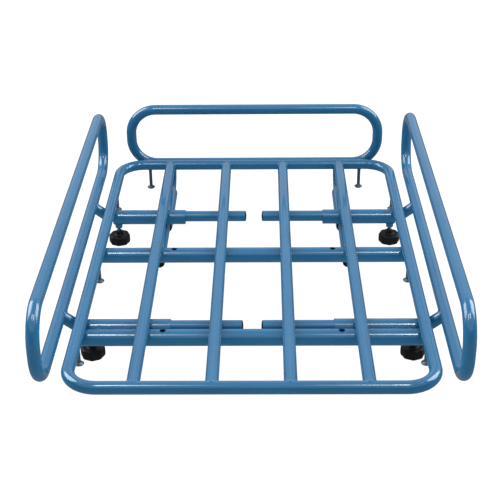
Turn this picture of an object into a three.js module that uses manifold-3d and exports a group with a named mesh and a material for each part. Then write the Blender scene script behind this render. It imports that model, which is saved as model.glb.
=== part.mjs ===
// Extending luggage rack: a welded tube deck with three side hoops that slide out of sleeves.
// Millimetres, +Z up.  The deck lies in a horizontal plane, its front at low Y.  The origin is at
// the centre of the bottom of the bounding box, where the rack stands on its clamp knobs.
import * as THREE from 'three';
import { mergeVertices } from 'three/addons/utils/BufferGeometryUtils.js';
import Module from 'manifold-3d';

const wasm = await Module();
wasm.setup();

// ---- driving dimensions ----
const TUBE_RADIUS = 12.5;          // 25 mm frame, slat, hoop and arm tube
const TUBE_WALL = 1.5;
const SLEEVE_RADIUS = 17;          // 34 mm sleeve and cross member tube
const SLEEVE_WALL = 2;
const GAP = 0.3;                   // clearance between pieces that touch
const TUBE_SIDES = 12;
const BEND_STEPS = 5;              // straight steps in a quarter bend

const DECK_WIDTH = 680;            // between side tube centres
const DECK_LENGTH = 986;           // between front and rear tube centres
const DECK_CORNER = 59;
const SLAT_COUNT = 4;
const SLAT_PITCH = 143.4;

const MEMBER_Y = { front_cross_member: 214, middle_cross_member: 556 };
const MEMBER_HALF_LENGTH = 347;
const MEMBER_CAP = 3;              // welded end disc
const FIXING_HOLE_X = 177;
const FIXING_HOLE_RADIUS = 6.25;

const SIDE_SLEEVE_Y = { front: 252, rear: 747 };
const SIDE_SLEEVE = { inner: 164, mouth: 336, clamp: 325, armEnd: 18, bend: 34 };
const BACK_SLEEVE = { inner: 765, mouth: 954, clamp: 927, armEnd: 576, bend: 55 };
const BACK_SLEEVE_X = 215;
const BEND_CLEARANCE = 2;          // from the sleeve mouth to where the arm starts to bend

const SIDE_HOOP = { offset: 385.5, front: -3, rear: 990, low: 0, high: 146, corner: 64 };
const BACK_HOOP = { offset: 1012, half: 314, low: -5, high: 141, corner: 64 };

const PEG_SHAFT_RADIUS = 4;
const PEG_HEAD_RADIUS = 10;
const PEG_HEAD_TOP = -58;
const PEG_BOTTOM = -65;
const PEG_CROWN = 0.8;             // rise of the head's domed underside
const PEG_NECK = 1.5;              // from the head's top up to the shaft
const PEG_SIDE_Y = { front: 170, middle: 496, rear: 855 };
const PEG_BACK_X = 268;

const BOSS_RADIUS = 8.5;
const BOSS_DROP = 9.5;             // below the sleeve
const BOSS_SINK = 3;               // from the sleeve's underside up round its curve
const BOSS_BORE_RADIUS = 4.5;
const SCREW_HOLE_RADIUS = 4.9;     // through the sleeve wall above the boss
const STUD_RADIUS = 4;             // M8
const PAD_HEIGHT = 3;

const KNOB_RADIUS = 25;
const KNOB_HEIGHT = 23;
const KNOB_TOP_DROP = 27.2;        // from the sleeve's underside to the knob's top face
const KNOB_LOBES = 8;
const KNOB_CHAMFER = 3;
const KNOB_FLUTE = 1.6;            // depth of the hollows between the lobes
const KNOB_FLOOR = 8;              // solid plastic below the end of the stud
const HUB_HEIGHT = 10.5;
const HUB_ROOT = 2;                // how far the hub's wide foot stands above the knob's top face
const HUB_RADII = { foot: 11, waist: 9, top: 6.5 };

const PLUG = { crown: 0.5, shoulder: 1.4, brim: 2.7, spigot: 17, clearance: 0.6 };
const PLUG_LIP = 3;                // from the plug's end to the tube's end
const HANGER = { length: 30, thickness: 5, overlap: 1 };
const COARSE_SIDES = 16;

// ---- worked out from those ----
const MEMBER_Z = -(TUBE_RADIUS + GAP + SLEEVE_RADIUS);
const BACK_SLEEVE_Z = MEMBER_Z - 2 * SLEEVE_RADIUS - GAP;
const ARM_LIFT = SLEEVE_RADIUS - SLEEVE_WALL - TUBE_RADIUS - GAP;   // arm is clamped to the sleeve's top
const ARM_UNDERSIDE = ARM_LIFT - TUBE_RADIUS;
const STUD_TOP = ARM_UNDERSIDE - GAP - PAD_HEIGHT - GAP;
const KNOB_TOP = -SLEEVE_RADIUS - KNOB_TOP_DROP;
const KNOB_BOTTOM = KNOB_TOP - KNOB_HEIGHT;
const RACK_FRONT = SIDE_HOOP.front - TUBE_RADIUS;
const RACK_REAR = BACK_HOOP.offset + TUBE_RADIUS;
const RACK_BOTTOM = BACK_SLEEVE_Z + KNOB_BOTTOM;

// ---- finishes ----
const paint = () => new THREE.MeshStandardMaterial({ color: 0x3a74a8, roughness: 0.28, metalness: 0.1 });
const plastic = () => new THREE.MeshStandardMaterial({ color: 0x1b1c1f, roughness: 0.5, metalness: 0 });
const steel = () => new THREE.MeshStandardMaterial({ color: 0x4a4e55, roughness: 0.4, metalness: 0.9 });

// ---- solids ----
// A closed geometry becomes a solid that can be cut and joined.
function toSolid(geometry) {
  const bare = geometry.clone();
  bare.deleteAttribute('normal');
  bare.deleteAttribute('uv');
  const merged = mergeVertices(bare, 1e-4);
  return new wasm.Manifold(new wasm.Mesh({
    numProp: 3,
    vertProperties: new Float32Array(merged.attributes.position.array),
    triVerts: new Uint32Array(merged.index.array),
  }));
}

function toGeometry(solid) {
  const mesh = solid.getMesh();
  const geometry = new THREE.BufferGeometry();
  geometry.setAttribute('position', new THREE.BufferAttribute(new Float32Array(mesh.vertProperties), 3));
  geometry.setIndex(new THREE.BufferAttribute(new Uint32Array(mesh.triVerts), 1));
  const flat = geometry.toNonIndexed();
  flat.computeVertexNormals();
  return flat;
}

function cut(geometry, ...tools) {
  let solid = toSolid(geometry);
  for (const tool of tools) {
    solid = solid.subtract(toSolid(tool));
  }
  return toGeometry(solid);
}

function join(...pieces) {
  let solid = toSolid(pieces[0]);
  for (const piece of pieces.slice(1)) {
    solid = solid.add(toSolid(piece));
  }
  return toGeometry(solid);
}

// A regular polygon whose flats lie on a circle of the given radius, one of them facing straight up.
function polygonPoints(radius, sides = TUBE_SIDES) {
  const corner = radius / Math.cos(Math.PI / sides);
  const points = [];
  for (let i = 0; i < sides; i += 1) {
    const angle = (2 * Math.PI * (i + 0.5)) / sides;
    points.push(new THREE.Vector2(corner * Math.cos(angle), corner * Math.sin(angle)));
  }
  return points;
}

function ringShape(outer, inner) {
  const shape = new THREE.Shape(polygonPoints(outer));
  if (inner > 0) {
    shape.holes.push(new THREE.Path(polygonPoints(inner)));
  }
  return shape;
}

// A path made of straight runs and round bends, which an extrusion follows station by station.
class BentPath extends THREE.Curve {
  constructor(stations) {
    super();
    this.stations = stations;
  }

  get steps() {
    return this.stations.length - 1;
  }

  getPoint(t) {
    const place = t * this.steps;
    const from = Math.min(Math.floor(place), this.steps - 1);
    return this.stations[from].clone().lerp(this.stations[from + 1], place - from);
  }

  getPointAt(u) {
    return this.getPoint(u);
  }

  getTangentAt(u) {
    const here = Math.round(u * this.steps);
    const before = this.stations[Math.max(here - 1, 0)];
    const at = this.stations[here];
    const after = this.stations[Math.min(here + 1, this.steps)];
    const arriving = at.clone().sub(before).normalize();
    const leaving = after.clone().sub(at).normalize();
    return arriving.add(leaving).normalize();
  }
}

function sweep(stations, shape) {
  const path = new BentPath(stations);
  return new THREE.ExtrudeGeometry(shape, { steps: path.steps, extrudePath: path });
}

// Stations round a rectangle with bent corners, in its own plane.  It starts and ends at the middle
// of the side at highest b, where the bent tube's two ends meet in a butt joint.
function roundedLoop(a0, a1, b0, b1, corner) {
  const middle = (a0 + a1) / 2;
  const points = [[middle + GAP / 2, b1]];
  const centres = [[a1 - corner, b1 - corner], [a1 - corner, b0 + corner],
    [a0 + corner, b0 + corner], [a0 + corner, b1 - corner]];
  centres.forEach(([ca, cb], index) => {
    for (let i = 0; i <= BEND_STEPS; i += 1) {
      const angle = Math.PI / 2 - (Math.PI / 2) * (index + i / BEND_STEPS);
      points.push([ca + corner * Math.cos(angle), cb + corner * Math.sin(angle)]);
    }
  });
  points.push([middle - GAP / 2, b1]);
  return points;
}

function straightTube(outer, inner, start, end) {
  return sweep([new THREE.Vector3(start, 0, 0), new THREE.Vector3(end, 0, 0)], ringShape(outer, inner));
}

// A prism along local Y, used to cut a saddle for a tube of the given radius.
function saddleTool(radius, length, x, z) {
  const tool = sweep([new THREE.Vector3(0, -length / 2, 0), new THREE.Vector3(0, length / 2, 0)],
    ringShape(radius, 0));
  tool.translate(x, 0, z);
  return tool;
}

function uprightCylinder(radius, low, high, sides = TUBE_SIDES) {
  const cylinder = new THREE.CylinderGeometry(radius, radius, high - low, sides);
  cylinder.rotateX(Math.PI / 2);
  cylinder.translate(0, 0, (low + high) / 2);
  return cylinder;
}

// A turned shape about local Z from pairs of radius and height.
function turned(profile, sides) {
  const lathe = new THREE.LatheGeometry(profile.map(([r, z]) => new THREE.Vector2(r, z)), sides);
  lathe.rotateX(Math.PI / 2);
  return lathe;
}

function mesh(name, geometry, material) {
  const item = new THREE.Mesh(geometry, material);
  item.name = name;
  return item;
}

// ---- deck ----
function deckFrame() {
  const half = DECK_WIDTH / 2;
  const stations = roundedLoop(-half, half, 0, DECK_LENGTH, DECK_CORNER)
    .map(([x, y]) => new THREE.Vector3(x, y, 0));
  const geometry = sweep(stations, ringShape(TUBE_RADIUS, TUBE_RADIUS - TUBE_WALL));
  return mesh('deck_frame', geometry, paint());
}

function slats() {
  const frameSaddle = TUBE_RADIUS + GAP;
  const tube = straightTube(TUBE_RADIUS, TUBE_RADIUS - TUBE_WALL, 0, DECK_LENGTH);
  const geometry = cut(tube,
    saddleTool(frameSaddle, 4 * TUBE_RADIUS, 0, 0),
    saddleTool(frameSaddle, 4 * TUBE_RADIUS, DECK_LENGTH, 0));
  const row = [];
  for (let i = 0; i < SLAT_COUNT; i += 1) {
    const slat = mesh(`slat_${i + 1}`, geometry.clone(), paint());
    slat.position.x = (i - (SLAT_COUNT - 1) / 2) * SLAT_PITCH;
    slat.rotation.z = Math.PI / 2;
    row.push(slat);
  }
  return row;
}

// A cross member: capped tube with two upright fixing holes through both walls.
function crossMembers() {
  const inside = MEMBER_HALF_LENGTH - MEMBER_CAP;
  const outer = straightTube(SLEEVE_RADIUS, 0, -MEMBER_HALF_LENGTH, MEMBER_HALF_LENGTH);
  const bore = straightTube(SLEEVE_RADIUS - SLEEVE_WALL, 0, -inside, inside);
  const holes = [-1, 1].map((side) => {
    const hole = uprightCylinder(FIXING_HOLE_RADIUS, -2 * SLEEVE_RADIUS, 2 * SLEEVE_RADIUS);
    hole.translate(side * FIXING_HOLE_X, 0, 0);
    return hole;
  });
  const geometry = cut(outer, bore, ...holes);
  return Object.entries(MEMBER_Y).map(([name, y]) => {
    const member = mesh(name, geometry.clone(), paint());
    member.position.set(0, y, MEMBER_Z);
    return member;
  });
}

// A tie-down peg: a stud with a mushroom head, hanging from the tube above it.
function pegs() {
  const headRim = (PEG_HEAD_TOP + PEG_BOTTOM) / 2;
  const top = -TUBE_RADIUS - GAP;
  const geometry = turned([
    [0, PEG_BOTTOM],
    [PEG_HEAD_RADIUS * 0.6, PEG_BOTTOM + PEG_CROWN],
    [PEG_HEAD_RADIUS, headRim],
    [PEG_HEAD_RADIUS * 0.8, PEG_HEAD_TOP],
    [PEG_SHAFT_RADIUS, PEG_HEAD_TOP + PEG_NECK],
    [PEG_SHAFT_RADIUS, top],
    [0, top],
  ], TUBE_SIDES);
  const row = [];
  const add = (name, x, y) => {
    const peg = mesh(name, geometry.clone(), steel());
    peg.position.set(x, y, 0);
    row.push(peg);
  };
  for (const [place, y] of Object.entries(PEG_SIDE_Y)) {
    add(`left_${place}_peg`, -DECK_WIDTH / 2, y);
    add(`right_${place}_peg`, DECK_WIDTH / 2, y);
  }
  add('back_left_peg', -PEG_BACK_X, DECK_LENGTH);
  add('back_right_peg', PEG_BACK_X, DECK_LENGTH);
  return row;
}

// ---- sleeves, arms and clamps: local X runs outwards along the arm, the sleeve's axis is at Z = 0 ----
// A plate on top hangs a long sleeve from the slat above it.
function sleeve(key, size, hanger) {
  const tube = straightTube(SLEEVE_RADIUS, SLEEVE_RADIUS - SLEEVE_WALL, size.inner, size.mouth);
  const screwHole = uprightCylinder(SCREW_HOLE_RADIUS, -2 * SLEEVE_RADIUS, 0);
  screwHole.translate(size.clamp, 0, 0);
  const geometry = cut(tube, screwHole);
  if (!hanger) {
    return mesh(`${key}_sleeve`, geometry, paint());
  }
  const plate = new THREE.BoxGeometry(HANGER.length, HANGER.thickness, hanger.high - hanger.low);
  plate.translate(size.mouth - HANGER.length / 2, 0, (hanger.high + hanger.low) / 2);
  return mesh(`${key}_sleeve`, join(geometry, plate), paint());
}

function boss(key, size) {
  const outside = uprightCylinder(BOSS_RADIUS, -SLEEVE_RADIUS - BOSS_DROP, -SLEEVE_RADIUS + BOSS_SINK,
    COARSE_SIDES);
  const bore = uprightCylinder(BOSS_BORE_RADIUS, -2 * SLEEVE_RADIUS, 0);
  const seat = straightTube(SLEEVE_RADIUS + GAP, 0, -2 * SLEEVE_RADIUS, 2 * SLEEVE_RADIUS);
  const item = mesh(`${key}_boss`, cut(outside, seat, bore), paint());
  item.position.x = size.clamp;
  return item;
}

// The arm: a straight tube that bends up outside its sleeve and runs on, straight again, to the middle
// of the hoop's lower bar, where it is coped.
function arm(key, size, barX, barZ) {
  const start = size.mouth + BEND_CLEARANCE;
  const run = barX - start;
  const rise = barZ - ARM_LIFT;
  const drop = rise - size.bend;
  const turn = Math.atan2(drop, run) + Math.asin(size.bend / Math.hypot(run, drop));
  const stations = [new THREE.Vector3(size.armEnd + PLUG_LIP, 0, ARM_LIFT)];
  for (let i = 0; i <= BEND_STEPS; i += 1) {
    const angle = (turn * i) / BEND_STEPS;
    stations.push(new THREE.Vector3(start + size.bend * Math.sin(angle), 0,
      ARM_LIFT + size.bend * (1 - Math.cos(angle))));
  }
  stations.push(new THREE.Vector3(barX, 0, barZ));
  const tube = sweep(stations, ringShape(TUBE_RADIUS, TUBE_RADIUS - TUBE_WALL));
  const bar = saddleTool(TUBE_RADIUS + GAP, 6 * TUBE_RADIUS, barX, barZ);
  return mesh(`${key}_arm`, cut(tube, bar), paint());
}

function endPlug(key, size) {
  const spigot = TUBE_RADIUS - TUBE_WALL - PLUG.clearance;
  const geometry = turned([
    [0, 0],
    [TUBE_RADIUS * 0.6, PLUG.crown],
    [TUBE_RADIUS * 0.93, PLUG.shoulder],
    [TUBE_RADIUS, PLUG.brim],
    [spigot, PLUG.brim],
    [spigot, PLUG.spigot],
    [0, PLUG.spigot],
  ], COARSE_SIDES);
  geometry.rotateY(Math.PI / 2);
  const item = mesh(`${key}_plug`, geometry, plastic());
  item.position.set(size.armEnd, 0, ARM_LIFT);
  return item;
}

function pad(key, size) {
  const top = ARM_UNDERSIDE - GAP;
  const geometry = uprightCylinder(STUD_RADIUS, top - PAD_HEIGHT, top);
  const item = mesh(`${key}_pad`, geometry, steel());
  item.position.x = size.clamp;
  return item;
}

function stud(key, size) {
  const geometry = uprightCylinder(STUD_RADIUS, KNOB_BOTTOM + KNOB_FLOOR, STUD_TOP);
  const item = mesh(`${key}_stud`, geometry, steel());
  item.position.x = size.clamp;
  return item;
}

// The knob: a chamfered head with shallow lobes, a conical hub above it and a blind hole for the stud.
function knob(key, size) {
  const outline = [];
  const count = KNOB_LOBES * 4;
  for (let i = 0; i < count; i += 1) {
    const angle = (2 * Math.PI * i) / count;
    const hollow = (1 - Math.cos(KNOB_LOBES * angle)) / 2;
    const radius = KNOB_RADIUS - KNOB_CHAMFER - KNOB_FLUTE * hollow;
    outline.push(new THREE.Vector2(radius * Math.cos(angle), radius * Math.sin(angle)));
  }
  const head = new THREE.ExtrudeGeometry(new THREE.Shape(outline), {
    depth: KNOB_HEIGHT - 2 * KNOB_CHAMFER,
    bevelThickness: KNOB_CHAMFER,
    bevelSize: KNOB_CHAMFER,
    bevelSegments: 1,
    steps: 1,
  });
  head.translate(0, 0, KNOB_BOTTOM + KNOB_CHAMFER);
  const hub = turned([
    [0, KNOB_TOP - HUB_ROOT],
    [HUB_RADII.foot, KNOB_TOP - HUB_ROOT],
    [HUB_RADII.waist, KNOB_TOP + HUB_ROOT],
    [HUB_RADII.top, KNOB_TOP + HUB_HEIGHT],
    [0, KNOB_TOP + HUB_HEIGHT],
  ], COARSE_SIDES);
  const bore = uprightCylinder(STUD_RADIUS + GAP, KNOB_BOTTOM + KNOB_FLOOR - GAP,
    KNOB_TOP + 2 * HUB_HEIGHT);
  const solid = toSolid(head).add(toSolid(hub)).subtract(toSolid(bore));
  const item = mesh(`${key}_knob`, toGeometry(solid), plastic());
  item.position.x = size.clamp;
  return item;
}

function clampedArm(key, size, barX, barZ, hanger) {
  const group = new THREE.Group();
  group.add(sleeve(key, size, hanger), boss(key, size), arm(key, size, barX, barZ));
  group.add(endPlug(key, size), pad(key, size), stud(key, size), knob(key, size));
  return group;
}

function sideArms() {
  const groups = [];
  for (const [place, y] of Object.entries(SIDE_SLEEVE_Y)) {
    for (const [side, turn] of [['left', Math.PI], ['right', 0]]) {
      const group = clampedArm(`${place}_${side}`, SIDE_SLEEVE, SIDE_HOOP.offset, SIDE_HOOP.low - MEMBER_Z);
      group.position.set(0, y, MEMBER_Z);
      group.rotation.z = turn;
      groups.push(group);
    }
  }
  return groups;
}

function backArms() {
  const hanger = {
    low: SLEEVE_RADIUS - HANGER.overlap,
    high: -TUBE_RADIUS - GAP - BACK_SLEEVE_Z,
  };
  return [['back_left', -1], ['back_right', 1]].map(([key, side]) => {
    const group = clampedArm(key, BACK_SLEEVE, BACK_HOOP.offset, BACK_HOOP.low - BACK_SLEEVE_Z, hanger);
    group.position.set(side * BACK_SLEEVE_X, 0, BACK_SLEEVE_Z);
    group.rotation.z = Math.PI / 2;
    return group;
  });
}

// ---- hoops: upright rounded rectangles whose butt joint is in the middle of the lower bar ----
function hoop(name, start, end, size, place) {
  const stations = roundedLoop(start, end, -size.high, -size.low, size.corner)
    .map(([along, down]) => place(along, -down));
  return mesh(name, sweep(stations, ringShape(TUBE_RADIUS, TUBE_RADIUS - TUBE_WALL)), paint());
}

function hoops() {
  const sideHoop = (name, side) => hoop(name, SIDE_HOOP.front, SIDE_HOOP.rear, SIDE_HOOP,
    (y, z) => new THREE.Vector3(side * SIDE_HOOP.offset, y, z));
  const backHoop = hoop('back_hoop', -BACK_HOOP.half, BACK_HOOP.half, BACK_HOOP,
    (x, z) => new THREE.Vector3(x, BACK_HOOP.offset, z));
  return [sideHoop('left_hoop', -1), sideHoop('right_hoop', 1), backHoop];
}

// ---- assembly ----
const rack = new THREE.Group();
rack.add(deckFrame(), ...slats(), ...crossMembers(), ...pegs());
rack.add(...hoops(), ...sideArms(), ...backArms());
rack.position.set(0, -(RACK_FRONT + RACK_REAR) / 2, -RACK_BOTTOM);

export default rack;
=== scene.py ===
# Extending luggage rack: painted tube deck, three sliding hoops, black clamp knobs and dark pegs.
# Metres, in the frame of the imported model.  Every size that the frame gives is read from it.
import math

import bmesh
import bpy
import numpy as np
from mathutils import Matrix, Vector


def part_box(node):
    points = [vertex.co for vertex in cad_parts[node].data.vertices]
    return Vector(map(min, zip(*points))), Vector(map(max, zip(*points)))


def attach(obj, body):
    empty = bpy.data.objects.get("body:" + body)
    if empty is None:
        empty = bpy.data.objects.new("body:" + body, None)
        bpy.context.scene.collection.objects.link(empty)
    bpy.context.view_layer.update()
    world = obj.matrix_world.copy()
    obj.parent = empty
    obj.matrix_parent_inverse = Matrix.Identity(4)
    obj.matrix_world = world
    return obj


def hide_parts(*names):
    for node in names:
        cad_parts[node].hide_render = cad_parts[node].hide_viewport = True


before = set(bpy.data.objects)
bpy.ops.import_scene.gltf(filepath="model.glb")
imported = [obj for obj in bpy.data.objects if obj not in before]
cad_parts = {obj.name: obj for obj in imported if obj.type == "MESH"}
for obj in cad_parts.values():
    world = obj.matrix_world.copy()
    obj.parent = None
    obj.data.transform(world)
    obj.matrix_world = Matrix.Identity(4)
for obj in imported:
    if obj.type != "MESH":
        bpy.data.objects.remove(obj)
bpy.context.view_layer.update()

# ---- sizes that the frame doesn't give, in metres ----
TUBE_WALL = 0.0015
SLEEVE_WALL = 0.002
CAD_GAP = 0.0003             # between welded pieces in the frame
DECK_CORNER = 0.059          # bend radii, on the tubes' axes
HOOP_CORNER = 0.064
ARM_LIFT = 0.0022            # arms are clamped against the top of their sleeves
BEND_CLEARANCE = 0.002       # from a sleeve's mouth to where its arm starts to bend
FIXING_HOLE_X = 0.177
FIXING_HOLE_RADIUS = 0.00625
END_ROUNDING = 0.0004        # broken edge on a cut tube end
END_SUPPORT = 4 * END_ROUNDING   # a ring here keeps that edge's shading off the rest of the tube
WELD_SINK = 0.0004           # how far a coped end goes into the tube that it meets

BOSS_BORE = 0.0045           # radii
SCREW_HOLE = 0.0049          # in the sleeve wall above the boss
PLUG_SPIGOT = 0.0104         # the part of a plug that goes into its arm
STUD_RADIUS = 0.004          # M8
THREAD_PITCH = 0.00125
THREAD_DEPTH = 0.00065
THREAD_TAPER = 0.0008        # how much thinner the stud is at its two ends
KNOB_LOBES = 8
KNOB_FLUTE = 0.0016          # how deep the hollows between its lobes are
KNOB_HUB_HEIGHT = 0.0105
KNOB_BORE_ROOM = 0.0003      # round the stud
PEG_RADIUS = 0.004
HANGER = (0.030, 0.005)      # length and thickness of the plates over the long sleeves

SIDES = 48                   # vertices round a tube
CREASE = 40                  # degrees; sharper edges aren't smoothed over
BEND_STEPS = 20              # rings in a quarter bend, or in an arm's whole bend
STEPS_PER_LOBE = 12          # vertices round each of a knob's lobes
STUD_SIDES = 24
STEPS_PER_THREAD = 4         # rings to each turn of the thread
CORNER_STEPS = 4             # steps round a hanger plate's corner

X = np.array([1.0, 0.0, 0.0])
Y = np.array([0.0, 1.0, 0.0])
Z = np.array([0.0, 0.0, 1.0])

SIDE_BEND = 0.034            # bend radius of the arms, on their axis
BACK_BEND = 0.055
SOCKETS = {
    "front_left": ("left_hoop", -X, SIDE_BEND),
    "rear_left": ("left_hoop", -X, SIDE_BEND),
    "front_right": ("right_hoop", X, SIDE_BEND),
    "rear_right": ("right_hoop", X, SIDE_BEND),
    "back_left": ("back_hoop", Y, BACK_BEND),
    "back_right": ("back_hoop", Y, BACK_BEND),
}
RAIL_OF = {"left_hoop": "left_rail", "right_hoop": "right_rail", "back_hoop": "back_rail"}


# ---- what the frame gives ----
def corners(node):
    low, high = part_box(node)
    return np.array(low), np.array(high)


def middle(node):
    low, high = corners(node)
    return (low + high) / 2


DECK_LOW, DECK_HIGH = corners("deck_frame")
TUBE = (DECK_HIGH[2] - DECK_LOW[2]) / 2
DECK_Z = (DECK_HIGH[2] + DECK_LOW[2]) / 2
MEMBER_LOW, MEMBER_HIGH = corners("front_cross_member")
SLEEVE = (MEMBER_HIGH[2] - MEMBER_LOW[2]) / 2


# ---- meshes built from rings of points ----
def unit(v):
    return v / np.linalg.norm(v)


def angles(count):
    return np.arange(count) * 2 * math.pi / count


def ring(centre, side, up, radius, count=SIDES):
    """A circle of points; radius may be one number or one for each point."""
    turn = angles(count)
    radius = np.broadcast_to(radius, (count,))
    return centre + np.outer(radius * np.cos(turn), side) + np.outer(radius * np.sin(turn), up)


def loft(rings, wrap=False, cap=True):
    """Vertices and faces through rings of equal length; wrap joins the last ring to the first."""
    count = len(rings[0])
    points = np.concatenate(rings)
    faces = []
    total = len(rings)
    for i in range(total if wrap else total - 1):
        here = i * count
        there = ((i + 1) % total) * count
        for j in range(count):
            k = (j + 1) % count
            faces.append((here + j, here + k, there + k, there + j))
    if cap and not wrap:
        faces.append(tuple(range(count - 1, -1, -1)))
        faces.append(tuple((total - 1) * count + j for j in range(count)))
    return points, faces


def make_piece(name, parts, material, body, nodes=()):
    """One object from one or more (points, faces), smooth-shaded except where faces meet sharply."""
    points = []
    faces = []
    for part_points, part_faces in parts:
        start = len(points)
        points.extend(map(tuple, part_points))
        faces.extend(tuple(start + i for i in face) for face in part_faces)
    mesh = bpy.data.meshes.new(name)
    mesh.from_pydata(points, [], faces)
    mesh.validate()
    outward(mesh)
    mesh.shade_smooth()
    mesh.set_sharp_from_angle(angle=math.radians(CREASE))
    mesh.materials.append(material)
    piece = bpy.data.objects.new(name, mesh)
    bpy.context.scene.collection.objects.link(piece)
    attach(piece, body)
    if nodes:
        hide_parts(*nodes)
    return piece


def outward(mesh):
    """Turns every face of a closed mesh outwards."""
    work = bmesh.new()
    work.from_mesh(mesh)
    bmesh.ops.recalc_face_normals(work, faces=work.faces)
    work.to_mesh(mesh)
    work.free()


def cut_away(piece, cutters):
    """Takes closed shapes, each (points, faces), out of a piece."""
    tools = []
    for points, faces in cutters:
        mesh = bpy.data.meshes.new("cutter")
        mesh.from_pydata([tuple(p) for p in points], [], faces)
        outward(mesh)
        tool = bpy.data.objects.new("cutter", mesh)
        bpy.context.scene.collection.objects.link(tool)
        cutter = piece.modifiers.new("cut", "BOOLEAN")
        cutter.object = tool
        cutter.operation = "DIFFERENCE"
        cutter.solver = "EXACT"
        tools.append(tool)
    graph = bpy.context.evaluated_depsgraph_get()
    done = bpy.data.meshes.new_from_object(piece.evaluated_get(graph))
    piece.modifiers.clear()
    piece.data = done
    done.shade_smooth()
    done.set_sharp_from_angle(angle=math.radians(CREASE))
    for tool in tools:
        bpy.data.objects.remove(tool)


def upright_ring(centre, radius, height=0.0, out=X, count=SIDES):
    """A level circle of points, each raised by its own height."""
    level = ring(centre, out, np.cross(Z, out), radius, count)
    return level + np.outer(np.broadcast_to(height, (count,)), Z)


def upright_cutter(centre, radius, low, high):
    """A plain upright rod for cutting a hole; low and high are measured from centre."""
    return loft([upright_ring(centre, radius, low), upright_ring(centre, radius, high)])


def under(tube_radius, radius, count=SIDES):
    """Heights of a tube's underside from its axis, round an upright circle that starts along it."""
    across = radius * np.sin(angles(count))
    return -np.sqrt(tube_radius ** 2 - across ** 2)


# ---- tubes ----
def tube_with_bore(start, end, outer, inner, side, up):
    """A straight open tube with broken edges at both ends."""
    along = unit(end - start)
    edge = outer - END_ROUNDING
    stations = [(start, inner), (start, edge),
                (start + along * END_ROUNDING, outer), (start + along * END_SUPPORT, outer),
                (end - along * END_SUPPORT, outer), (end - along * END_ROUNDING, outer),
                (end, edge), (end, inner)]
    return loft([ring(place, side, up, radius) for place, radius in stations], wrap=True)


def rounded_loop(a0, a1, b0, b1, corner):
    """Places round a rectangle with bent corners, in its own plane, and the way each faces out."""
    places = []
    centres = [(a1 - corner, b1 - corner), (a0 + corner, b1 - corner),
               (a0 + corner, b0 + corner), (a1 - corner, b0 + corner)]
    for quarter, (ca, cb) in enumerate(centres):
        for step in range(BEND_STEPS + 1):
            turn = math.pi / 2 * (quarter + step / BEND_STEPS)
            places.append((ca + corner * math.cos(turn), cb + corner * math.sin(turn), turn))
    return places


def loop_tube(places, origin, along_a, along_b, radius):
    """A closed bent tube that follows a rounded loop."""
    normal = np.cross(along_a, along_b)
    rings = []
    for a, b, turn in places:
        outwards = along_a * math.cos(turn) + along_b * math.sin(turn)
        rings.append(ring(origin + a * along_a + b * along_b, outwards, normal, radius))
    return loft(rings, wrap=True)


# ---- weld beads ----
WELD_RADIUS = 0.0017
PEG_WELD_RADIUS = 0.0011
BOSS_WELD_RADIUS = 0.0014
HANGER_WELD_RADIUS = 0.0016
WELD_TOE = 0.0004            # how far a bead's middle stands off the pieces that it joins
ARM_WELD_ROOM = 0.0021       # how far an arm's bead keeps inside its hoop's outer face
CROSSING_GAP = 0.0024        # the groove between crossing tubes is filled to where it is this wide
CROSSING_CROWN = 0.0007      # radius of the bead in it, less half that width
RIPPLE_PITCH = 0.0022
RIPPLE_DEPTH = 0.16          # a share of the bead's radius, as the next is
BEAD_WANDER = 0.06           # slow drift in a bead's thickness
WANDER_WAVES = 7.3           # half-waves of that drift round a bead
STEPS_PER_RIPPLE = 4
LEAST_RIPPLES = 6
BEAD_SIDES = 10
CROSSING_STEPS = 72


def bead(curve, radius=WELD_RADIUS, phase=0.0):
    """A rippled weld bead along a closed curve of points."""
    closed = np.vstack([curve, curve[:1]])
    lengths = np.concatenate([[0], np.cumsum(np.linalg.norm(np.diff(closed, axis=0), axis=1))])
    steps = max(LEAST_RIPPLES, round(lengths[-1] / RIPPLE_PITCH)) * STEPS_PER_RIPPLE
    stations = np.arange(steps) / steps * lengths[-1]
    places = np.column_stack([np.interp(stations, lengths, closed[:, i]) for i in range(3)])
    tangents = np.roll(places, -1, axis=0) - np.roll(places, 1, axis=0)
    centre = places.mean(axis=0)
    rings = []
    for k, (place, tangent) in enumerate(zip(places, tangents)):
        tangent = unit(tangent)
        away = place - centre
        away = unit(away - tangent * (away @ tangent))
        wave = abs(math.sin(math.pi * (k / STEPS_PER_RIPPLE + phase)))
        wander = BEAD_WANDER * math.sin(WANDER_WAVES * k / len(places) * math.pi + phase * 5)
        swell = 1 + RIPPLE_DEPTH * (wave - 0.5) + wander
        rings.append(ring(place, away, np.cross(tangent, away), radius * swell, BEAD_SIDES))
    return loft(rings, wrap=True)


def crossing_weld(contact, upper_axis, upper, lower_axis, lower, reach=1.0):
    """The weld ring in the groove round the spot where one tube lies across another.

    upper and lower are the tubes' radii, and reach is how far the weld may go along the lower
    tube, for a tube that ends there.
    """
    turn = angles(CROSSING_STEPS)
    reach_across = math.sqrt(2 * CROSSING_GAP * upper)
    reach_along = math.sqrt(2 * CROSSING_GAP * lower)
    u = np.minimum(reach_across * np.cos(turn), reach)
    v = reach_along * np.sin(turn)
    height = (u ** 2 / upper - v ** 2 / lower) / 4
    curve = contact + np.outer(u, lower_axis) + np.outer(v, upper_axis) + np.outer(height, Z)
    return bead(curve, CROSSING_GAP / 2 + CROSSING_CROWN)


# ---- materials ----
def colour(red, green, blue):
    """A display colour, 0 to 255, as linear light."""
    def linear(value):
        value /= 255
        return value / 12.92 if value <= 0.04045 else ((value + 0.055) / 1.055) ** 2.4
    return (linear(red), linear(green), linear(blue), 1.0)


def new_material(name):
    material = bpy.data.materials.new(name)
    material.use_nodes = True
    nodes = material.node_tree.nodes
    return material, nodes, material.node_tree.links, nodes["Principled BSDF"]


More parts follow.
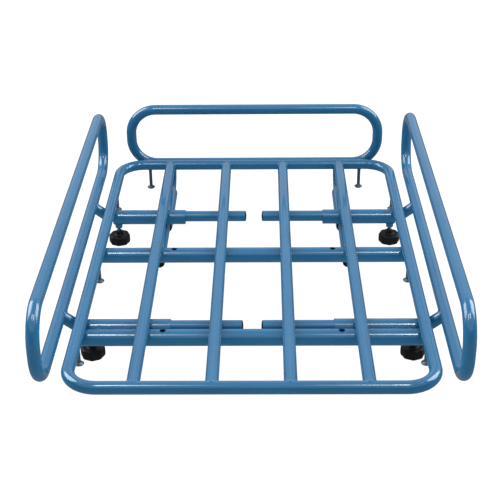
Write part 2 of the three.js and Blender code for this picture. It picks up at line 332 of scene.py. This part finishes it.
def noise(nodes, links, scale, detail=2.0, rough=0.5):
    """Noise laid out in the object's own metres; scale is in waves to the metre."""
    place = nodes.new("ShaderNodeTexCoord")
    texture = nodes.new("ShaderNodeTexNoise")
    texture.inputs["Scale"].default_value = scale
    texture.inputs["Detail"].default_value = detail
    texture.inputs["Roughness"].default_value = rough
    links.new(place.outputs["Object"], texture.inputs["Vector"])
    return texture.outputs["Fac"]


def ramp(nodes, links, factor, stops):
    """A colour ramp from (position, colour) stops."""
    node = nodes.new("ShaderNodeValToRGB")
    elements = node.color_ramp.elements
    for index, (position, value) in enumerate(stops):
        element = elements[index] if index < 2 else elements.new(position)
        element.position = position
        element.color = value
    links.new(factor, node.inputs["Fac"])
    return node.outputs["Color"]


def grey(value):
    return (value, value, value, 1.0)


def bump(nodes, links, shader, height, strength, distance):
    node = nodes.new("ShaderNodeBump")
    node.inputs["Strength"].default_value = strength
    node.inputs["Distance"].default_value = distance
    links.new(height, node.inputs["Height"])
    links.new(node.outputs["Normal"], shader.inputs["Normal"])


def blue_paint():
    """Gloss blue stoved paint: slight drift in shade, faint orange peel, and scuffs in the gloss."""
    material, nodes, links, shader = new_material("blue_paint")
    shade = noise(nodes, links, 9.0, 3.0)
    deep = (0.009, 0.109, 0.232, 1.0)
    light = (0.012, 0.126, 0.264, 1.0)
    links.new(ramp(nodes, links, shade, [(0.3, deep), (0.7, light)]), shader.inputs["Base Color"])
    scuffs = noise(nodes, links, 90.0, 4.0, 0.6)
    gloss = ramp(nodes, links, scuffs, [(0.45, grey(0.19)), (0.75, grey(0.27))])
    links.new(gloss, shader.inputs["Roughness"])
    bump(nodes, links, shader, noise(nodes, links, 220.0, 1.0), 0.008, 0.0004)
    shader.inputs["IOR"].default_value = 1.45
    shader.inputs["Coat Weight"].default_value = 0.8
    shader.inputs["Coat Roughness"].default_value = 0.09
    return material


def black_plastic():
    """Moulded black plastic with a fine spark-eroded grain."""
    material, nodes, links, shader = new_material("black_plastic")
    shade = noise(nodes, links, 60.0, 3.0)
    black = (0.0025, 0.0025, 0.003, 1.0)
    faded = (0.005, 0.005, 0.006, 1.0)
    links.new(ramp(nodes, links, shade, [(0.3, black), (0.7, faded)]), shader.inputs["Base Color"])
    wear = noise(nodes, links, 300.0, 4.0, 0.6)
    gloss = ramp(nodes, links, wear, [(0.35, grey(0.38)), (0.7, grey(0.55))])
    links.new(gloss, shader.inputs["Roughness"])
    bump(nodes, links, shader, noise(nodes, links, 2600.0, 1.0), 0.12, 0.0002)
    shader.inputs["Specular IOR Level"].default_value = 0.3
    return material


def dark_steel():
    """Dark zinc-plated steel with a patchy passivated tint."""
    material, nodes, links, shader = new_material("dark_steel")
    patches = noise(nodes, links, 110.0, 4.0, 0.6)
    tint = ramp(nodes, links, patches, [(0.3, colour(72, 90, 100)), (0.7, colour(96, 112, 122))])
    links.new(tint, shader.inputs["Base Color"])
    wear = noise(nodes, links, 700.0, 3.0)
    gloss = ramp(nodes, links, wear, [(0.3, grey(0.3)), (0.7, grey(0.48))])
    links.new(gloss, shader.inputs["Roughness"])
    bump(nodes, links, shader, noise(nodes, links, 1500.0, 2.0), 0.1, 0.0002)
    shader.inputs["Metallic"].default_value = 0.6
    return material


def brass():
    """Turned brass, dulled where it rubs."""
    material, nodes, links, shader = new_material("brass")
    rubbed = noise(nodes, links, 400.0, 3.0)
    tint = ramp(nodes, links, rubbed, [(0.3, colour(150, 120, 62)), (0.7, colour(188, 156, 88))])
    links.new(tint, shader.inputs["Base Color"])
    gloss = ramp(nodes, links, rubbed, [(0.3, grey(0.3)), (0.7, grey(0.5))])
    links.new(gloss, shader.inputs["Roughness"])
    bump(nodes, links, shader, noise(nodes, links, 3000.0, 1.0), 0.1, 0.0001)
    shader.inputs["Metallic"].default_value = 1.0
    return material


PAINT = blue_paint()
PLASTIC = black_plastic()
STEEL = dark_steel()
BRASS = brass()


# ---- deck ----
def deck_frame():
    places = rounded_loop(DECK_LOW[0] + TUBE, DECK_HIGH[0] - TUBE,
                          DECK_LOW[1] + TUBE, DECK_HIGH[1] - TUBE, DECK_CORNER)
    tube = loop_tube(places, Z * DECK_Z, X, Y, TUBE)
    make_piece("deck_frame_tube", [tube], PAINT, "root", ["deck_frame"])


def slat(index):
    """A slat coped to the front and rear tubes, with a weld bead round each end."""
    x = middle(f"slat_{index}")[0]
    turn = angles(SIDES)
    height = TUBE * np.sin(turn)
    # distance from the frame tube's axis to its surface, level by level
    reach = np.sqrt(np.maximum(TUBE ** 2 - height ** 2, 0))
    ends = []
    beads = []
    for y, inwards in ((DECK_LOW[1] + TUBE, 1), (DECK_HIGH[1] - TUBE, -1)):
        across = x + TUBE * np.cos(turn)
        level = DECK_Z + height
        ends.append(np.column_stack([across, y + inwards * (reach - WELD_SINK), level]))
        edge = np.column_stack([across, y + inwards * (reach + WELD_TOE), level])
        beads.append(bead(edge, phase=index))
    make_piece(f"slat_{index}_tube", [loft(ends, cap=False)], PAINT, "root",
               [f"slat_{index}"])
    make_piece(f"slat_{index}_welds", beads, PAINT, "root")


def cross_member(node):
    """A capped tube under the slats, drilled for four fixing bolts with its twin."""
    low, high = corners(node)
    centre = (low + high) / 2
    half = high[0] - centre[0]
    # distance from the middle, and radius: the end disc, the weld round it, and the tube
    disc = half - 0.0006
    stations = [(disc, 0.001), (disc, SLEEVE - 0.0034), (half, SLEEVE - 0.0016),
                (half - 0.0004, SLEEVE - 0.0003), (half - 0.0009, SLEEVE), (half - 0.0030, SLEEVE)]
    near_hole = FIXING_HOLE_RADIUS + 0.002
    waists = [(FIXING_HOLE_X + near_hole, SLEEVE), (FIXING_HOLE_X - near_hole, SLEEVE)]
    one_side = stations + waists
    profile = [(-s, r) for s, r in one_side] + [(s, r) for s, r in reversed(one_side)]
    outside = loft([ring(centre + X * s, Y, Z, r) for s, r in profile])
    bore_half = half - 0.003
    bore = loft([ring(centre + X * s, Y, Z, SLEEVE - SLEEVE_WALL) for s in (bore_half, -bore_half)])
    piece = make_piece(f"{node}_tube", [outside], PAINT, "root", [node])
    holes = []
    for side in (-1, 1):
        place = centre + X * side * FIXING_HOLE_X
        holes.append(upright_cutter(place, FIXING_HOLE_RADIUS, -2 * SLEEVE, 2 * SLEEVE))
    cut_away(piece, [bore, *holes])


def crossings():
    """Weld rings where the members and sleeves lie against the tubes that they cross."""
    side_tubes = [DECK_LOW[0] + TUBE, DECK_HIGH[0] - TUBE]
    slats = [middle(f"slat_{i}")[0] for i in range(1, 5)]
    level = DECK_Z - TUBE - CAD_GAP / 2
    beads = []
    for node in ("front_cross_member", "middle_cross_member"):
        y = middle(node)[1]
        for x in side_tubes + slats:
            beads.append(crossing_weld(np.array([x, y, level]), Y, TUBE, X, SLEEVE))
    for socket in SIDE_SOCKETS:
        for x in side_tubes + slats:
            along = x * socket.out[0]
            if socket.inner < along < socket.mouth + TUBE:
                contact = np.array([x, socket.axis[1], level])
                reach = socket.mouth - END_ROUNDING - along
                beads.append(crossing_weld(contact, Y, TUBE, socket.out, SLEEVE, reach=reach))
    for socket in BACK_SOCKETS:
        y = next(s.axis[1] for s in SIDE_SOCKETS if s.key == "rear_left")
        contact = np.array([socket.axis[0], y, level - 2 * SLEEVE - CAD_GAP])
        beads.append(crossing_weld(contact, X, SLEEVE, Y, SLEEVE))
    make_piece("crossing_welds", beads, PAINT, "root")


def peg(node, along):
    """A tie-down peg: mushroom head, neck and shaft, welded under a tube whose direction is along."""
    low, high = corners(node)
    foot = np.array([*middle(node)[:2], 0.0])
    head = (high[0] - low[0]) / 2
    top = DECK_Z + under(TUBE, PEG_RADIUS) + WELD_SINK
    # radius, and height above the head's lowest point
    levels = [(0.0008, 0.0), (head * 0.45, 0.0002), (head * 0.72, 0.0010), (head * 0.9, 0.0021),
              (head, 0.0035), (head * 0.97, 0.0044), (head * 0.84, 0.0056), (head * 0.62, 0.0066),
              (head * 0.5, 0.0073), (PEG_RADIUS * 1.04, 0.0086), (PEG_RADIUS, 0.0100)]
    rings = [upright_ring(foot, r, low[2] + h, along) for r, h in levels]
    rings.append(upright_ring(foot, PEG_RADIUS, top, along))
    make_piece(f"{node}_turned", [loft(rings)], STEEL, "root", [node])
    toe = PEG_RADIUS + 0.0006
    edge = upright_ring(foot, toe, DECK_Z + under(TUBE, toe) - 0.0003, along)
    make_piece(f"{node}_weld", [bead(edge, PEG_WELD_RADIUS)], PAINT, "root")


# ---- sleeves, arms and clamps ----
class Socket:
    """One sleeve with its arm and clamp: its directions, and where its parts lie along the arm."""

    def __init__(self, key):
        self.key = key
        self.hoop, self.out, self.bend = SOCKETS[key]
        self.rail = RAIL_OF[self.hoop]
        self.side = np.cross(Z, self.out)
        low, high = corners(f"{key}_sleeve")
        centre = (low + high) / 2
        self.axis = centre - self.out * (centre @ self.out)
        self.axis[2] = low[2] + SLEEVE
        self.inner, self.mouth = self.span("sleeve")
        self.clamp = middle(f"{key}_boss") @ self.out
        bar_low, bar_high = corners(self.hoop)
        self.bar = ((bar_low + bar_high) / 2) @ self.out
        self.bar_height = bar_low[2] + TUBE - self.axis[2]

    def span(self, part):
        """Where a part starts and ends along the arm."""
        low, high = corners(f"{self.key}_{part}")
        return sorted((low @ self.out, high @ self.out))

    def levels(self, part):
        """The lowest and highest points of a part, against the sleeve's axis."""
        low, high = corners(f"{self.key}_{part}")
        return low[2] - self.axis[2], high[2] - self.axis[2]

    def at(self, along, up=0.0):
        """A point along the arm and above the sleeve's axis."""
        return self.axis + self.out * along + Z * up


def sleeve(socket):
    """An open tube with a screw hole in its underside."""
    tube = tube_with_bore(socket.at(socket.inner), socket.at(socket.mouth),
                          SLEEVE, SLEEVE - SLEEVE_WALL, socket.side, Z)
    piece = make_piece(f"{socket.key}_sleeve_tube", [tube], PAINT, "root",
                       [f"{socket.key}_sleeve"])
    cut_away(piece, [upright_cutter(socket.at(socket.clamp), SCREW_HOLE, -2 * SLEEVE, 0.0)])


def hanger(socket):
    """The plate that hangs a long sleeve from its slat, with a weld round each end."""
    length, thickness = HANGER
    corner = 0.0008
    sink = 0.0005                # into the sleeve below it and the slat above it
    low = SLEEVE - sink
    high = socket.levels("sleeve")[1] + sink
    centre = socket.at(socket.mouth - length / 2)
    outline = []
    for quarter, (a, b) in enumerate([(1, 1), (-1, 1), (-1, -1), (1, -1)]):
        for step in range(CORNER_STEPS + 1):
            turn = math.pi / 2 * (quarter + step / CORNER_STEPS)
            outline.append((a * (length / 2 - corner) + corner * math.cos(turn),
                            b * (thickness / 2 - corner) + corner * math.sin(turn)))
    flat = np.array([a * socket.out + b * socket.side for a, b in outline])
    plate = loft([centre + flat + Z * low, centre + flat + Z * high])
    make_piece(f"{socket.key}_hanger_plate", [plate], PAINT, "root")
    inset = 0.0012
    beads = [bead(centre + flat + Z * height, HANGER_WELD_RADIUS)
             for height in (low + inset, high - inset)]
    make_piece(f"{socket.key}_hanger_welds", beads, PAINT, "root")


def boss(socket):
    """A bored boss saddled to the sleeve's underside and welded round."""
    low = socket.levels("boss")[0]
    start, end = socket.span("boss")
    outer = (end - start) / 2
    centre = socket.at(socket.clamp)
    bevel = 0.0007
    lead_in = 0.0004

    def at(radius, height):
        return upright_ring(centre, radius, height, socket.out)

    rings = [at(BOSS_BORE + lead_in, low), at(outer - bevel, low), at(outer, low + bevel),
             at(outer, under(SLEEVE, outer) + WELD_SINK),
             at(BOSS_BORE, under(SLEEVE, BOSS_BORE) + WELD_SINK), at(BOSS_BORE, low + lead_in)]
    make_piece(f"{socket.key}_boss_turned", [loft(rings, wrap=True)], PAINT, "root",
               [f"{socket.key}_boss"])
    toe = outer + 0.0005
    weld = bead(at(toe, under(SLEEVE, toe) - WELD_TOE), BOSS_WELD_RADIUS)
    make_piece(f"{socket.key}_boss_weld", [weld], PAINT, "root")


def arm(socket):
    """A tube that bends up outside its sleeve, then runs straight and is coped to the hoop's bar."""
    start = socket.mouth + BEND_CLEARANCE
    run = socket.bar - start
    rise = socket.bar_height - ARM_LIFT
    drop = rise - socket.bend
    turn = math.atan2(drop, run) + math.asin(socket.bend / math.hypot(run, drop))
    theta = angles(SIDES)
    outer_face = socket.bar + TUBE

    def place(along, up, radius):
        across = np.outer(radius * np.sin(theta), socket.side)
        return socket.axis + np.outer(along, socket.out) + across + np.outer(up, Z)

    def bent(angle):
        reach = socket.bend - TUBE * np.cos(theta)
        along = start + reach * np.sin(angle)
        return place(along, ARM_LIFT + socket.bend - reach * np.cos(angle), TUBE)

    def coped(radius, bar_radius, room=0.0):
        """The closed curve where a tube of this radius, in line with the arm's end, meets the bar.

        room is how far the curve keeps inside the bar's outer face.
        """
        inwards = radius * np.cos(theta)
        short = np.sqrt(np.maximum(bar_radius ** 2 - inwards ** 2, 0))
        along = socket.bar - short * math.cos(turn) - inwards * math.sin(turn)
        up = socket.bar_height - short * math.sin(turn) + inwards * math.cos(turn)
        return place(np.minimum(along, outer_face - room), up, radius)

    def straight(along, radius):
        return ring(socket.at(along, ARM_LIFT), Z, socket.side, radius)

    tip = socket.span("arm")[0]
    bore = TUBE - TUBE_WALL
    bore_depth = 0.02            # past the end plug's spigot, which hides the rest
    rings = [straight(tip + bore_depth, bore), straight(tip, bore), straight(tip, TUBE - END_ROUNDING),
             straight(tip + END_ROUNDING, TUBE), straight(tip + END_SUPPORT, TUBE)]
    rings += [bent(turn * i / BEND_STEPS) for i in range(BEND_STEPS + 1)]
    rings.append(coped(TUBE, TUBE - WELD_SINK))
    make_piece(f"{socket.key}_arm_tube", [loft(rings)], PAINT, socket.rail,
               [f"{socket.key}_arm"])
    weld = bead(coped(TUBE + WELD_TOE, TUBE + WELD_TOE, room=ARM_WELD_ROOM))
    make_piece(f"{socket.key}_arm_weld", [weld], PAINT, socket.rail)


def end_plug(socket):
    """A domed plug pressed into the arm's inner end."""
    tip = socket.span("plug")[0]
    # distance from the tip, and radius: the dome, its back face, and the spigot
    stations = [(0.0, 0.001), (0.0002, TUBE * 0.35), (0.0006, TUBE * 0.62), (0.0011, TUBE * 0.82),
                (0.0017, TUBE * 0.94), (0.0023, TUBE * 0.99), (0.0026, TUBE * 0.985),
                (0.0027, TUBE * 0.96), (0.0027, PLUG_SPIGOT), (0.0160, PLUG_SPIGOT),
                (0.0170, PLUG_SPIGOT - 0.001)]
    rings = [ring(socket.at(tip + along, ARM_LIFT), Z, socket.side, radius)
             for along, radius in stations]
    make_piece(f"{socket.key}_plug_moulded", [loft(rings)], PLASTIC, socket.rail,
               [f"{socket.key}_plug"])


def pad(socket):
    """The turned brass tip that presses on the arm."""
    low, high = socket.levels("pad")
    bevel = 0.0005
    # radius and height, with a narrow groove part way up
    levels = [(STUD_RADIUS - bevel, low), (STUD_RADIUS, low + bevel), (STUD_RADIUS, low + 0.0012),
              (STUD_RADIUS - bevel, low + 0.0014), (STUD_RADIUS - bevel, low + 0.0018),
              (STUD_RADIUS, low + 0.0020), (STUD_RADIUS, high - bevel), (STUD_RADIUS - bevel, high)]
    rings = [upright_ring(socket.at(socket.clamp), r, h) for r, h in levels]
    make_piece(f"{socket.key}_pad_turned", [loft(rings)], BRASS, f"{socket.key}_lift",
               [f"{socket.key}_pad"])


def stud(socket):
    """A right-hand thread cut as one helical groove, with tapered ends."""
    low, high = socket.levels("stud")
    share = np.arange(STUD_SIDES) / STUD_SIDES
    steps = round((high - low) / THREAD_PITCH * STEPS_PER_THREAD)
    rings = []
    for i in range(steps + 1):
        height = low + (high - low) * i / steps
        phase = (height / THREAD_PITCH - share) % 1.0
        groove = 1 - np.abs(2 * phase - 1)
        from_end = min(i, steps - i)
        taper = max(0.0, 1 - from_end / STEPS_PER_THREAD) * THREAD_TAPER
        radius = STUD_RADIUS - THREAD_DEPTH * groove - taper
        rings.append(upright_ring(socket.at(socket.clamp), radius, height, count=STUD_SIDES))
    make_piece(f"{socket.key}_stud_thread", [loft(rings)], STEEL, f"{socket.key}_screw",
               [f"{socket.key}_stud"])


def knob(socket):
    """A moulded knob: stepped base, fluted rim, rounded shoulders and a conical hub round the stud."""
    low, high = socket.levels("knob")
    top = high - KNOB_HUB_HEIGHT
    start, end = socket.span("knob")
    edge = (end - start) / 2
    count = KNOB_LOBES * STEPS_PER_LOBE
    lobe = (1 - np.cos(KNOB_LOBES * angles(count))) / 2
    bore = STUD_RADIUS + KNOB_BORE_ROOM
    bore_floor = 0.0077          # height of the bottom of the stud's bore above the knob's base
    # radius as a share of the knob's, height above its base, how deep the flutes run there
    body = [(0.02, 0.0022, 0), (0.30, 0.0022, 0), (0.34, 0.0006, 0), (0.38, 0.0006, 0),
            (0.42, 0.0026, 0), (0.70, 0.0026, 0), (0.74, 0.0004, 0), (0.80, 0.0, 0.3),
            (0.90, 0.0006, 0.8), (0.96, 0.0020, 1), (0.992, 0.0042, 1), (1.0, 0.0066, 1)]
    rim = top - low
    body += [(1.0, rim - 0.0060, 1), (0.99, rim - 0.0036, 1), (0.955, rim - 0.0016, 1),
             (0.90, rim - 0.0004, 0.8), (0.84, rim, 0.4), (0.66, rim - 0.0008, 0),
             (0.50, rim - 0.0010, 0)]
    centre = socket.at(socket.clamp)
    rings = []
    for share, height, flute in body:
        radius = edge * share - KNOB_FLUTE * flute * lobe
        rings.append(upright_ring(centre, radius, low + height, count=count))
    # radius, and height above the rim
    hub = [(0.0108, 0.0), (0.0098, 0.0011), (0.0091, 0.0028), (0.0074, 0.0086), (0.0068, 0.0098),
           (0.0060, KNOB_HUB_HEIGHT), (bore + 0.0003, KNOB_HUB_HEIGHT), (bore, 0.0100)]
    for radius, height in hub:
        rings.append(upright_ring(centre, radius, top + height, count=count))
    rings.append(upright_ring(centre, bore, low + bore_floor, count=count))
    make_piece(f"{socket.key}_knob_moulded", [loft(rings)], PLASTIC, f"{socket.key}_screw",
               [f"{socket.key}_knob"])


# ---- hoops ----
def hoop(node, along):
    """An upright bent loop of tube; along is the level direction of its bars."""
    low, high = corners(node)
    start, end = low @ along + TUBE, high @ along - TUBE
    places = rounded_loop(start, end, low[2] + TUBE, high[2] - TUBE, HOOP_CORNER)
    centre = (low + high) / 2
    origin = centre * (1 - along) * (1 - Z)
    tube = loop_tube(places, origin, along, Z, TUBE)
    make_piece(f"{node}_tube", [tube], PAINT, RAIL_OF[node], [node])


# ---- the whole rack ----
ALL_SOCKETS = [Socket(key) for key in SOCKETS]
SIDE_SOCKETS = [s for s in ALL_SOCKETS if s.hoop != "back_hoop"]
BACK_SOCKETS = [s for s in ALL_SOCKETS if s.hoop == "back_hoop"]

deck_frame()
for index in range(1, 5):
    slat(index)
cross_member("front_cross_member")
cross_member("middle_cross_member")
crossings()
for side in ("left", "right"):
    for place in ("front", "middle", "rear"):
        peg(f"{side}_{place}_peg", Y)
    peg(f"back_{side}_peg", X)
for socket in ALL_SOCKETS:
    for build in (sleeve, boss, arm, end_plug, pad, stud, knob):
        build(socket)
for socket in BACK_SOCKETS:
    hanger(socket)
hoop("left_hoop", Y)
hoop("right_hoop", Y)
hoop("back_hoop", X)


# ---- studio ----
def studio_floor():
    """A wide pale floor that glows faintly and isn't mirrored in the paint."""
    bpy.ops.mesh.primitive_plane_add(size=80.0)
    floor = bpy.context.object
    floor.name = "studio_floor"
    material, _, _, shader = new_material("pale_floor")
    shader.inputs["Base Color"].default_value = (0.14, 0.14, 0.14, 1.0)
    shader.inputs["Roughness"].default_value = 0.9
    shader.inputs["Emission Color"].default_value = (1.0, 1.0, 1.0, 1.0)
    shader.inputs["Emission Strength"].default_value = 0.90
    floor.data.materials.append(material)
    floor.visible_glossy = False


def combine(nodes, links, operation, first, second):
    node = nodes.new("ShaderNodeMath")
    node.operation = operation
    links.new(first, node.inputs[0])
    links.new(second, node.inputs[1])
    return node.outputs["Value"]


def studio_world():
    """Grey surroundings for the paint to mirror.

    The walls brighten from front to back, and fade down to the horizon.  Overhead is brighter,
    most of all along its lower edge, and all below the horizon is one dark grey.
    """
    world = bpy.data.worlds.new("studio")
    world.use_nodes = True
    bpy.context.scene.world = world
    nodes = world.node_tree.nodes
    links = world.node_tree.links
    background = nodes["Background"]
    place = nodes.new("ShaderNodeTexCoord")
    split = nodes.new("ShaderNodeSeparateXYZ")
    links.new(place.outputs["Generated"], split.inputs["Vector"])
    behind = ramp(nodes, links, split.outputs["Y"],
                  [(0.0, grey(0.10)), (0.5, grey(0.34)), (0.9, grey(0.48))])
    horizon = ramp(nodes, links, split.outputs["Z"], [(0.0, grey(0.30)), (0.10, grey(1.0))])
    overhead = ramp(nodes, links, split.outputs["Z"],
                    [(0.45, grey(0.0)), (0.55, grey(0.68)), (0.68, grey(0.5)), (0.9, grey(0.46))])
    beneath = ramp(nodes, links, split.outputs["Z"], [(0.0, grey(0.15)), (0.001, grey(0.0))])
    walls = combine(nodes, links, "MULTIPLY", behind, horizon)
    room = combine(nodes, links, "MAXIMUM", walls, overhead)
    links.new(combine(nodes, links, "MAXIMUM", room, beneath), background.inputs["Color"])
    background.inputs["Strength"].default_value = 1.25


LAMP_COLOUR = (0.86, 0.95, 1.0)
# name, distance to each side, width and watts of the overhead strips
STRIPS = [("box", 0.69, 0.15, 6.8), ("fill", 0.53, 0.20, 3.2), ("trim", 0.34, 0.18, 0.9)]
STRIP_LENGTH = 0.60


def softbox(name, place, aim, width, height, power):
    light = bpy.data.lights.new(name, "AREA")
    light.shape = "RECTANGLE"
    light.size = width
    light.size_y = height
    light.energy = power
    light.color = LAMP_COLOUR
    lamp = bpy.data.objects.new(name, light)
    bpy.context.scene.collection.objects.link(lamp)
    lamp.location = place
    lamp.rotation_euler = (Vector(aim) - Vector(place)).to_track_quat("-Z", "Y").to_euler()


def studio_lights():
    """Strips over each side, which the cross tubes mirror as streaks, and a large bank beyond each."""
    sides = [("left", -1), ("right", 1)]
    for side, sign in sides:
        for name, x, width, power in STRIPS:
            softbox(f"{side}_{name}", (sign * x, -1.25, 2.6), (sign * x, -0.2, 0.1),
                    width, STRIP_LENGTH, power)
    for side, sign in sides:
        softbox(f"{side}_bank", (sign * 2.8, 0.7, 2.4), (sign * 0.2, 0.0, 0.1), 2.4, 2.8, 125.0)


CAMERA_PLACE = (0.02455, -2.20007, 1.32525)
CAMERA_DOWN = 28.275         # degrees
CAMERA_ASIDE = -0.818
CAMERA_ROLL = -0.576
CAMERA_LENS = 82.18          # millimetres, as the sensor's width
SENSOR_WIDTH = 36.0


def camera():
    """The photograph's own view: from the front, 28 degrees down."""
    down, aside, roll = (math.radians(a) for a in (CAMERA_DOWN, CAMERA_ASIDE, CAMERA_ROLL))
    forward = Vector((math.sin(aside) * math.cos(down),
                      math.cos(aside) * math.cos(down),
                      -math.sin(down)))
    right = Vector((math.cos(aside), -math.sin(aside), 0.0))
    up = right.cross(forward)
    across = math.cos(roll) * right + math.sin(roll) * up
    upward = -math.sin(roll) * right + math.cos(roll) * up
    data = bpy.data.cameras.new("view")
    data.lens = CAMERA_LENS
    data.sensor_width = SENSOR_WIDTH
    item = bpy.data.objects.new("view", data)
    bpy.context.scene.collection.objects.link(item)
    turn = Matrix((across, upward, -forward)).transposed()
    item.matrix_world = Matrix.Translation(CAMERA_PLACE) @ turn.to_4x4()
    bpy.context.scene.camera = item


studio_floor()
studio_world()
studio_lights()
camera()
bpy.context.scene.view_settings.view_transform = "Standard"
